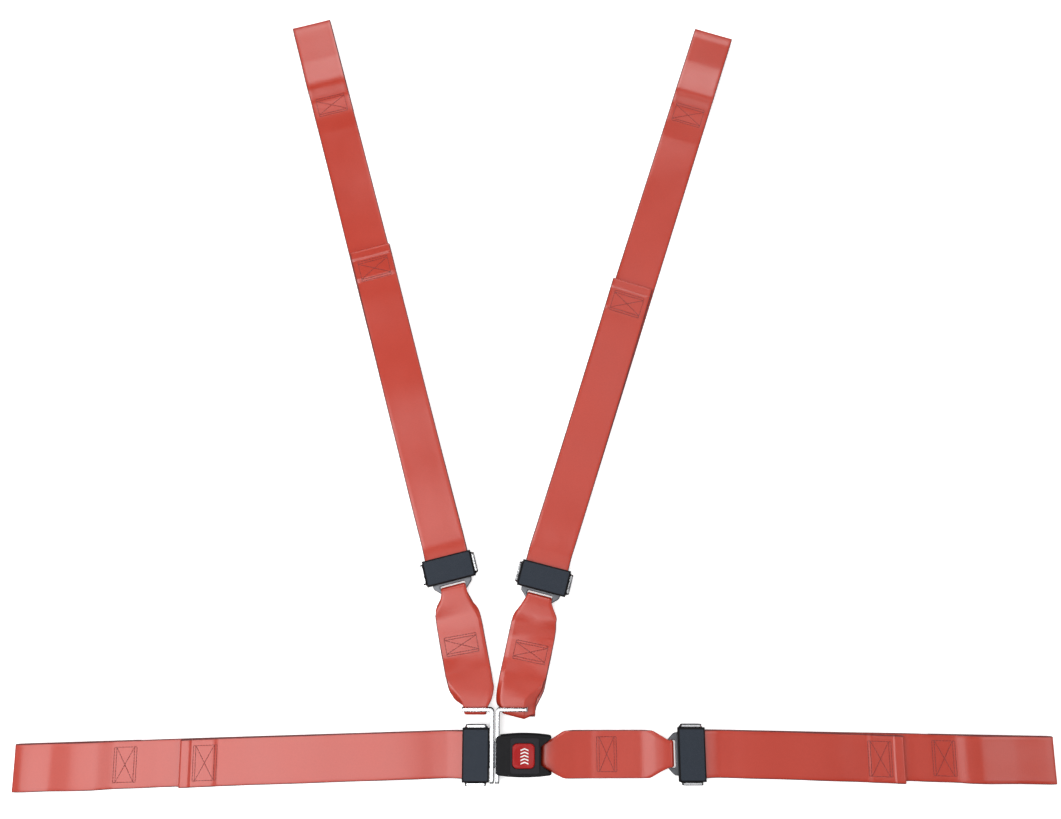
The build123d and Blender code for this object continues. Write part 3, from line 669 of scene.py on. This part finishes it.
class LinkStrap:
    """A sewn loop between two bars. x runs from the first bar to the second, y is to the left of it.

    left and right hold (x, half width), fold the (x, crease distance, fold angle in degrees, radius) of the
    left and right edges, heights the upper layer's heights at the places that top lists, and rolls its
    (x, slope across). seam is the stretch that is sewn. When held_by is given, the strap is not attached to
    body and its placement is baked into its mesh; nothing makes it bend.
    """

    def __init__(self, name, node_name, body, first, second, first_axis, second_axis, left, right, fold,
                 heights, rolls, seam, stretch=1.0, skew=0.0, seam_skew=0.0, held_by=None):
        self.name, self.node_name, self.body, self.held_by = name, node_name, body, held_by
        self.a = np.array(JOINTS[first]["pos_m"][:2], float) / MM
        self.b = np.array(JOINTS[second]["pos_m"][:2], float) / MM
        self.length = float(np.linalg.norm(self.b - self.a))
        self.direction = (self.b - self.a) / self.length
        self.first_axis, self.second_axis = np.array(first_axis, float), np.array(second_axis, float)
        self.left, self.right, self.fold = left, right, fold
        self.heights, self.rolls, self.seam = heights, rolls, seam
        self.stretch, self.skew, self.seam_skew = stretch, skew, seam_skew

    def plan(self, x, y):
        """The two ends are square to their bars and the middle runs straight between them."""
        x, y = np.asarray(x, float)[..., None], np.asarray(y, float)[..., None]
        middle = self.a + self.direction * x + turned(self.direction) * y
        first = self.a + self.first_axis * x + turned(self.first_axis) * y
        second = self.b - self.second_axis * (self.length - x) + turned(self.second_axis) * y
        start, stop = SQUARE_ENDS
        near = 1 - smoothstep((x - start) / (stop - start))
        far = smoothstep((x - self.length + stop) / (stop - start))
        return middle * (1 - near - far) + first * near + second * far

    def top(self, x):
        """Height of the upper layer's middle surface."""
        start, stop = self.seam
        xs = [0, 4, 12, 22, 32, start - 5, start + 1, stop - 1, stop + 6, self.length - 30, self.length - 16,
              self.length - 6, self.length]
        return np.interp(x, fine_x(xs), smooth_values(xs, self.heights))

    def roll(self, x):
        """Slope of the upper layer across the strap, up to the left."""
        return shape_at(self.rolls, 1, x)

    def bottom(self, x):
        """Height of the lower layer's middle surface."""
        rise = smoothstep((12 - np.minimum(x, self.length - x)) / 12)
        return 1.15 + 0.15 * (1 - rise)

    def width(self, side, x):
        return shape_at(self.left if side > 0 else self.right, 1, x)

    def folds(self, side, x):
        """(crease distance, fold angle in degrees, radius) on one side at x."""
        table = self.fold[0] if side > 0 else self.fold[1]
        return [float(shape_at(table, column, x)) for column in (1, 2, 3)]

    def section(self, x, z, under, room):
        """Offsets across and below the layer for one station, both sides."""
        points = []
        for side in (-1, 1):
            reach = float(self.width(side, x)) - HALF
            half = []
            if under:
                crease, angle, radius = max(reach - 2.4, 4.0), 12.0, 6.0
                free = max(reach - crease, 0.3)
            else:
                crease, angle, radius = self.folds(side, x)
                crease = min(crease, reach)
                free = max(HALF_WIDTH - crease, 0.3)
            for share in np.linspace(0, 1, 9):
                half.append((crease * share, 0.0))
            turn = math.radians(angle)
            arc = min(radius * turn, free)
            for share in (0.2, 0.4, 0.6, 0.8, 1.0):
                a = arc * share / radius
                half.append((crease + radius * math.sin(a), radius * (1 - math.cos(a))))
            a = arc / radius
            rest = max(free - arc, 0.05)
            if not under:
                drop = half[-1][1]
                if math.sin(a) > 0.05:
                    rest = min(rest, max((z - HALF - 0.3 - drop) / math.sin(a), 0.05))
                rest = min(rest, max(room, 0.05)) if angle > 95 else rest
            last_v, last_h = half[-1]
            for share in (0.34, 0.67, 1.0):
                half.append((last_v + rest * share * math.cos(a), last_h + rest * share * math.sin(a)))
            half = [(side * v, h) for v, h in half]
            points += half[::-1] if side < 0 else half[1:]
        return points

    def stations(self):
        """(x, z, outward in x, outward in z, under, room inside) round the loop, overlapping underneath."""
        start, stop = self.seam
        length = self.length
        made = []

        def run(x_from, x_to, height, under, step):
            number = max(2, int(abs(x_to - x_from) / step))
            for x in np.linspace(x_from, x_to, number, endpoint=False):
                room = (min(x, length - x) - 4) * 1.2
                made.append((x, float(height(x)), 0.0, -1.0 if under else 1.0, under, room))

        def wrap(bar_x, side, angles, stretch=1.0):
            for angle in angles:
                a = math.radians(angle)
                made.append((bar_x + side * RING_R * stretch * math.cos(a), RING_Z + RING_R * math.sin(a),
                             side * math.cos(a), math.sin(a), angle < -60, 0.0))

        def inner_layer(x):
            return self.bottom(x) + (WEB + 0.05) * smoothstep((stop + 9 - x) / 8)

        run(stop, 0, self.bottom, True, 3.0)
        wrap(0.0, -1, np.linspace(-90, 90, 19), self.stretch)
        run(0, length, self.top, False, 1.6)
        wrap(length, 1, np.linspace(90, -90, 19))
        run(length, start, inner_layer, True, 3.0)
        return made

    def build(self):
        rows = []
        for x, z, out_x, out_z, under, room in self.stations():
            inside = float(np.clip(x, 0, self.length))
            points = np.array(self.section(inside, z, under, room))
            y, depth = points[:, 0], points[:, 1]
            px = x - out_x * depth
            if self.skew and x < 2:
                px = px + self.skew * (y - 10) / 20 * smoothstep((2 - x) / 5) * (1 if out_x else 0.5)
            pz = z - out_z * depth
            if out_z > 0.5:
                pz = pz + float(self.roll(inside)) * y
            rows.append(at_height(self.plan(px, y), pz))
        rows = np.array(rows)
        along = run_along(rows[:, rows.shape[1] // 2])
        strap = thick_ribbon(self.name, rows, along, HALF)
        if self.held_by is None:
            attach(strap, self.body)
        else:
            start, stop = ((*((self.a + self.direction * x) * MM), RING_Z * MM) for x in BENDING)
            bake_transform(strap)
            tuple(start)
            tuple(stop)
        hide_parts(self.node_name)

        def point(px, py):
            return at_height(self.plan(px, py), np.array(float(self.top(px) + self.roll(px) * py)))

        start, stop = self.seam
        middle_x = (start + stop) / 2
        shift = (float(self.width(1, middle_x)) - float(self.width(-1, middle_x))) / 2
        stitches = box_x(self.name + "_stitches", (start + 1.6, stop - 1.6), (shift - 18.3, shift + 18.3),
                         lambda x, y: on_top(point, x, y), self.seam_skew)
        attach(stitches, self.body)


left_tilt = -np.array(JOINTS["shoulder_left_webbing_grip"]["axis"][:2], float)
right_tilt = -np.array(JOINTS["shoulder_right_webbing_grip"]["axis"][:2], float)
LINKS = [
    LinkStrap("webbing_link_left", "shoulder_link_strap_left", "shoulder_left_link",
              "shoulder_left_link_swing", "shoulder_left_adjuster_swing", (0, 1), -left_tilt,
              [(0, 11), (3, 12.5), (5.5, 17), (9, 21), (13, 23.6), (20, 25.4), (33, 26.6), (46, 27.4),
               (86, 27.2), (106, 26.4), (114, 25.8), (122, 23), (128, 17), (134.5, 13.3)],
              [(0, 11), (4.6, 14.8), (10.5, 18.4), (18, 21.4), (26, 22.3), (77, 22.2), (104, 21.8),
               (112, 20.5), (120, 17.5), (128, 14.5), (134.5, 13.3)],
              ([(0, 9.9, 120, 1.3), (5, 11.5, 75, 1.8), (13, 14.6, 40, 2.5), (25, 18.5, 34, 3),
                (38, 25, 8, 6), (108, 26, 4, 6), (116, 21.5, 60, 3.0), (124, 16, 140, 1.6),
                (134.5, 12.2, 165, 1.2)],
               [(0, 9.9, 165, 1.2), (10, 16.5, 150, 1.4), (22, 21.3, 60, 3), (32, 22, 6, 5),
                (88, 21.6, 6, 5), (100, 20.5, 30, 3.0), (112, 16.5, 62, 1.8), (124, 12.6, 120, 1.4),
                (134.5, 12.2, 165, 1.2)]),
              [9.3, 9.6, 10.3, 10.0, 8.6, 6.3, 5.4, 5.3, 5.0, 5.4, 7.9, 9.3, 9.3],
              [(0, 0), (8, 0.02), (20, 0.06), (44, 0.13), (54, 0.05), (60, 0), (88, -0.02), (100, -0.07),
               (118, -0.01), (134.5, 0)],
              (60, 84), stretch=1.25, seam_skew=0.02),
    LinkStrap("webbing_link_right", "shoulder_link_strap_right", "shoulder_right_link",
              "shoulder_right_link_swing", "shoulder_right_adjuster_swing", (0, 1), -right_tilt,
              [(0, 14.5), (3, 20.0), (10, 21.4), (30, 21.6), (57, 21.0), (84, 21.4), (98, 22.4), (106, 21.5),
               (114, 18), (124.1, 13.3)],
              [(0, 22.5), (6, 26.5), (14, 28.1), (40, 28.0), (68, 27.9), (95, 26.6), (106, 24), (114, 20.5),
               (124.1, 13.3)],
              ([(0, 11.5, 75, 2.0), (6, 14.5, 60, 2.0), (18, 17, 50, 2.5), (30, 19, 20, 4), (92, 21, 6, 5),
                (104, 19.5, 70, 2.4), (114, 15.5, 140, 1.5), (124.1, 12.2, 165, 1.2)],
               [(0, 9.6, 34, 2.0), (12, 10.5, 27, 2.0), (25, 18, 24, 2.5), (38, 26, 12, 4), (90, 26.4, 6, 5),
                (102, 24, 30, 4), (112, 19.5, 120, 2.0), (124.1, 12.2, 165, 1.2)]),
              [9.3, 9.6, 10.2, 9.8, 8.2, 6.2, 5.6, 5.5, 5.8, 7.4, 8.9, 9.4, 9.3],
              [(0, 0), (8, -0.03), (18, 0.03), (38, 0.10), (47, 0.03), (52, -0.01), (76, -0.01),
               (84, 0.07), (94, 0.09), (104, 0), (124.1, 0)],
              (52, 76), stretch=1.2, skew=5.0, seam_skew=-0.02),
    LinkStrap("webbing_link_buckle", "buckle_link_strap", "buckle_link",
              "buckle_link_swing", "lap_right_adjuster_swing", (1, 0), (1, 0),
              [(0, 11.8), (4, 13.6), (12, 18.8), (22, 24.0), (29, 25.5), (60, 25.4), (112, 25.3), (119, 24.4),
               (129, 20.0), (138.2, 13.2)],
              [(0, 13.4), (4, 15.4), (12, 20.4), (22, 24.6), (29, 25.2), (60, 25.2), (110, 25.2), (117, 24.2),
               (127, 18.6), (138.2, 12.4)],
              ([(0, 10.9, 165, 1.2), (10, 15.5, 140, 1.6), (20, 20.5, 80, 2.6), (29, 24.3, 10, 4),
                (110, 24.3, 6, 5), (118, 22.4, 70, 2.6), (129, 17.2, 140, 1.6), (138.2, 12.0, 165, 1.2)],
               [(0, 12.0, 165, 1.2), (10, 17.0, 140, 1.6), (20, 21.5, 80, 2.6), (29, 24.3, 10, 4),
                (108, 24.3, 6, 5), (116, 22.0, 70, 2.6), (127, 16.4, 140, 1.6), (138.2, 11.6, 165, 1.2)]),
              [9.3, 9.5, 9.2, 8.0, 6.4, 5.0, 5.3, 5.3, 5.3, 5.6, 8.4, 9.3, 9.3],
              [(0, 0), (138.2, 0)], (56, 81), held_by="buckle"),
]
for strap in LINKS:
    strap.build()


# ---------------------------------------------------------------- slate panels on the adjuster covers
def rounded_rectangle(half_x, half_y, corner, each=6):
    points = []
    for sx, sy, start in ((1, 1, 0), (-1, 1, 90), (-1, -1, 180), (1, -1, 270)):
        for k in range(each + 1):
            a = math.radians(start + 90 * k / each)
            points.append((sx * (half_x - corner) + corner * math.cos(a),
                           sy * (half_y - corner) + corner * math.sin(a)))
    return points


def lofted(name, outlines, place, materials):
    """A closed solid through outlines of equal point count, each (points, z), from low to high."""
    size = len(outlines[0][0])
    points = [place(x, y, z) for outline, z in outlines for x, y in outline]
    faces = tube_faces(len(outlines), size)
    faces.append(tuple(range(size - 1, -1, -1)))
    faces.append(tuple(range(len(points) - size, len(points))))
    return mesh_object(name, points, faces, materials)


def centre_and_top(name):
    """A node's middle and its highest level, in millimetres."""
    low, high = (np.array(corner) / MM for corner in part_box(name))
    return (low + high) / 2, high[2]


PANEL_BODIES = ("shoulder_left_adjuster", "shoulder_right_adjuster", "tongue", "lap_right_adjuster")
for strap, corner, body in zip(LONG, CORNERS, PANEL_BODIES):
    centre, top = centre_and_top("adjuster_cover_" + corner)
    across = turned(strap.near)

    def place(x, y, z, strap=strap, centre=centre, across=across):
        plan = centre[:2] + strap.near * x + across * y
        return (plan[0], plan[1], z)

    steps = [(13.3, 26.8, 1.6, top - 0.4), (13.3, 26.8, 1.6, top + 0.18), (13.1, 26.6, 1.5, top + 0.32),
             (12.7, 26.2, 1.3, top + 0.38)]
    outlines = [(rounded_rectangle(*step[:3]), step[3]) for step in steps]
    panel = lofted("cover_panel_" + corner, outlines, place, (PANEL,))
    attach(panel, body)


# ---------------------------------------------------------------- mark on the button
def chevrons():
    """Five raised chevrons in a column, dished like the button."""
    centre, top = centre_and_top("release_button")
    mark_x = centre[0] + 1.05
    points, faces = [], []
    thick, half, rise, pitch = 1.35, 4.4, 1.7, 3.5
    for n in range(5):
        y0 = centre[1] + (n - 2) * pitch - 0.2
        line = [(-half, -rise / 2), (0.0, rise / 2), (half, -rise / 2)]
        line = [(mark_x + x, y0 + y) for x, y in line]
        base = len(points)
        for x, y in line:
            for dy in (-thick / 2, thick / 2):
                dish = top - 0.62 + ((x - centre[0]) ** 2 + (y + dy - centre[1]) ** 2) / 180
                points.append((x, y + dy, dish - 0.1))
                points.append((x, y + dy, dish + 0.12))
        for i in range(2):
            a, b = base + 4 * i, base + 4 * i + 4
            faces += [(a + 1, b + 1, b + 3, a + 3), (a, a + 2, b + 2, b), (a, b, b + 1, a + 1),
                      (a + 2, a + 3, b + 3, b + 2)]
        faces += [(base, base + 1, base + 3, base + 2), (base + 8, base + 10, base + 11, base + 9)]
    made = mesh_object("button_mark", points, faces, (MARK,))
    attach(made, "button")


chevrons()


# ---------------------------------------------------------------- floor, light, camera
def floor_material():
    material, nodes, links, surface = new_material("pale_floor")
    place = nodes.new("ShaderNodeTexCoord").outputs["Object"]
    fine = noise(nodes, links, place, 6.0, 3.0)
    links.new(mixed(nodes, links, fine, (0.90, 0.90, 0.90), (0.93, 0.93, 0.93)), surface.inputs["Base Color"])
    surface.inputs["Roughness"].default_value = 0.9
    surface.inputs["Specular IOR Level"].default_value = 0.1
    surface.inputs["Emission Color"].default_value = (1, 1, 1, 1)
    surface.inputs["Emission Strength"].default_value = 0.55
    return material


FLOOR_HALF = 4000.0
FLOOR_Z = -0.15
corners = [(x * FLOOR_HALF, y * FLOOR_HALF, FLOOR_Z) for x, y in ((-1, -1), (1, -1), (1, 1), (-1, 1))]
floor = mesh_object("floor", corners, [(0, 1, 2, 3)], (floor_material(),))
floor.visible_glossy = False


def backdrop():
    """A pale dome far round the floor. Only the camera sees it."""
    material, nodes, links, surface = new_material("pale_backdrop")
    place = nodes.new("ShaderNodeTexCoord").outputs["Object"]
    soft = noise(nodes, links, place, 0.4, 2.0)
    surface.inputs["Base Color"].default_value = (0, 0, 0, 1)
    surface.inputs["Specular IOR Level"].default_value = 0.0
    pale = mixed(nodes, links, soft, (0.86, 0.86, 0.87), (0.93, 0.93, 0.94))
    links.new(pale, surface.inputs["Emission Color"])
    surface.inputs["Emission Strength"].default_value = 1.0
    radius, around, levels = 7000.0, 64, 16
    points = []
    for i in range(levels):
        tilt = math.radians(-20 + 108 * i / (levels - 1))
        out, up = radius * math.cos(tilt), radius * math.sin(tilt)
        for k in range(around):
            turn = math.tau * k / around
            points.append((out * math.cos(turn), out * math.sin(turn), up))
    faces = tube_faces(levels, around)
    faces.append(tuple(range(len(points) - around, len(points))))
    dome = mesh_object("backdrop", points, faces, (material,), smooth=[True] * len(faces))
    dome.visible_diffuse = False
    dome.visible_glossy = False
    dome.visible_transmission = False
    dome.visible_shadow = False


backdrop()


def softbox(name, location, target, size, energy):
    """A rectangular lamp that looks from location at target."""
    light = bpy.data.lights.new(name, "AREA")
    light.shape = "RECTANGLE"
    light.size, light.size_y = size
    light.energy = energy
    made = bpy.data.objects.new(name, light)
    bpy.context.scene.collection.objects.link(made)
    made.location = location
    offset = np.array(target, float) - np.array(location, float)
    made.rotation_mode = "QUATERNION"
    made.rotation_quaternion = Vector(offset).to_track_quat("-Z", "Y")


softbox("softbox_main", (-0.80, -0.12, 1.55), (-0.30, 0.10, 0.0), (1.35, 1.5), 21.0)
softbox("softbox_far", (-0.05, 2.35, 1.55), (0.0, 0.7, 0.0), (1.9, 0.9), 20.0)
softbox("softbox_side", (1.62, 0.0, 1.4), (0.3, 0.1, 0.0), (0.5, 1.1), 4.5)
softbox("softbox_right", (0.30, 0.80, 1.55), (0.1, 0.35, 0.0), (0.35, 0.8), 1.5)
softbox("softbox_low", (0.58, -0.2, 1.55), (0.3, 0.0, 0.0), (0.4, 0.6), 0.6)

world = bpy.data.worlds.new("studio")
bpy.context.scene.world = world
world.use_nodes = True
sky = world.node_tree
background = sky.nodes["Background"]
coordinate = sky.nodes.new("ShaderNodeTexCoord")
separate = sky.nodes.new("ShaderNodeSeparateXYZ")
sky.links.new(coordinate.outputs["Generated"], separate.inputs["Vector"])
ramp = sky.nodes.new("ShaderNodeValToRGB")
ramp.color_ramp.elements[0].position = 0.0
ramp.color_ramp.elements[0].color = (0.015, 0.015, 0.017, 1)
ramp.color_ramp.elements[1].position = 1.0
ramp.color_ramp.elements[1].color = (0.22, 0.22, 0.23, 1)
for position, level in ((0.16, 0.03), (0.30, 1.5), (0.58, 1.3), (0.76, 0.28)):
    stop = ramp.color_ramp.elements.new(position)
    stop.color = (level, level, level, 1)
sky.links.new(separate.outputs["Z"], ramp.inputs["Fac"])
sky.links.new(ramp.outputs["Color"], background.inputs["Color"])
background.inputs["Strength"].default_value = 0.55

camera_data = bpy.data.cameras.new("photo_camera")
camera = bpy.data.objects.new("photo_camera", camera_data)
bpy.context.scene.collection.objects.link(camera)
camera.location = (0.00726, 0.1465, 1.1086)
camera.rotation_euler = (math.radians(12.6), 0, 0)
camera_data.lens = 31.86
camera_data.sensor_width = 36.0
camera_data.clip_start = 0.05
camera_data.clip_end = 50.0
bpy.context.scene.camera = camera
bpy.context.scene.view_settings.view_transform = "Standard"
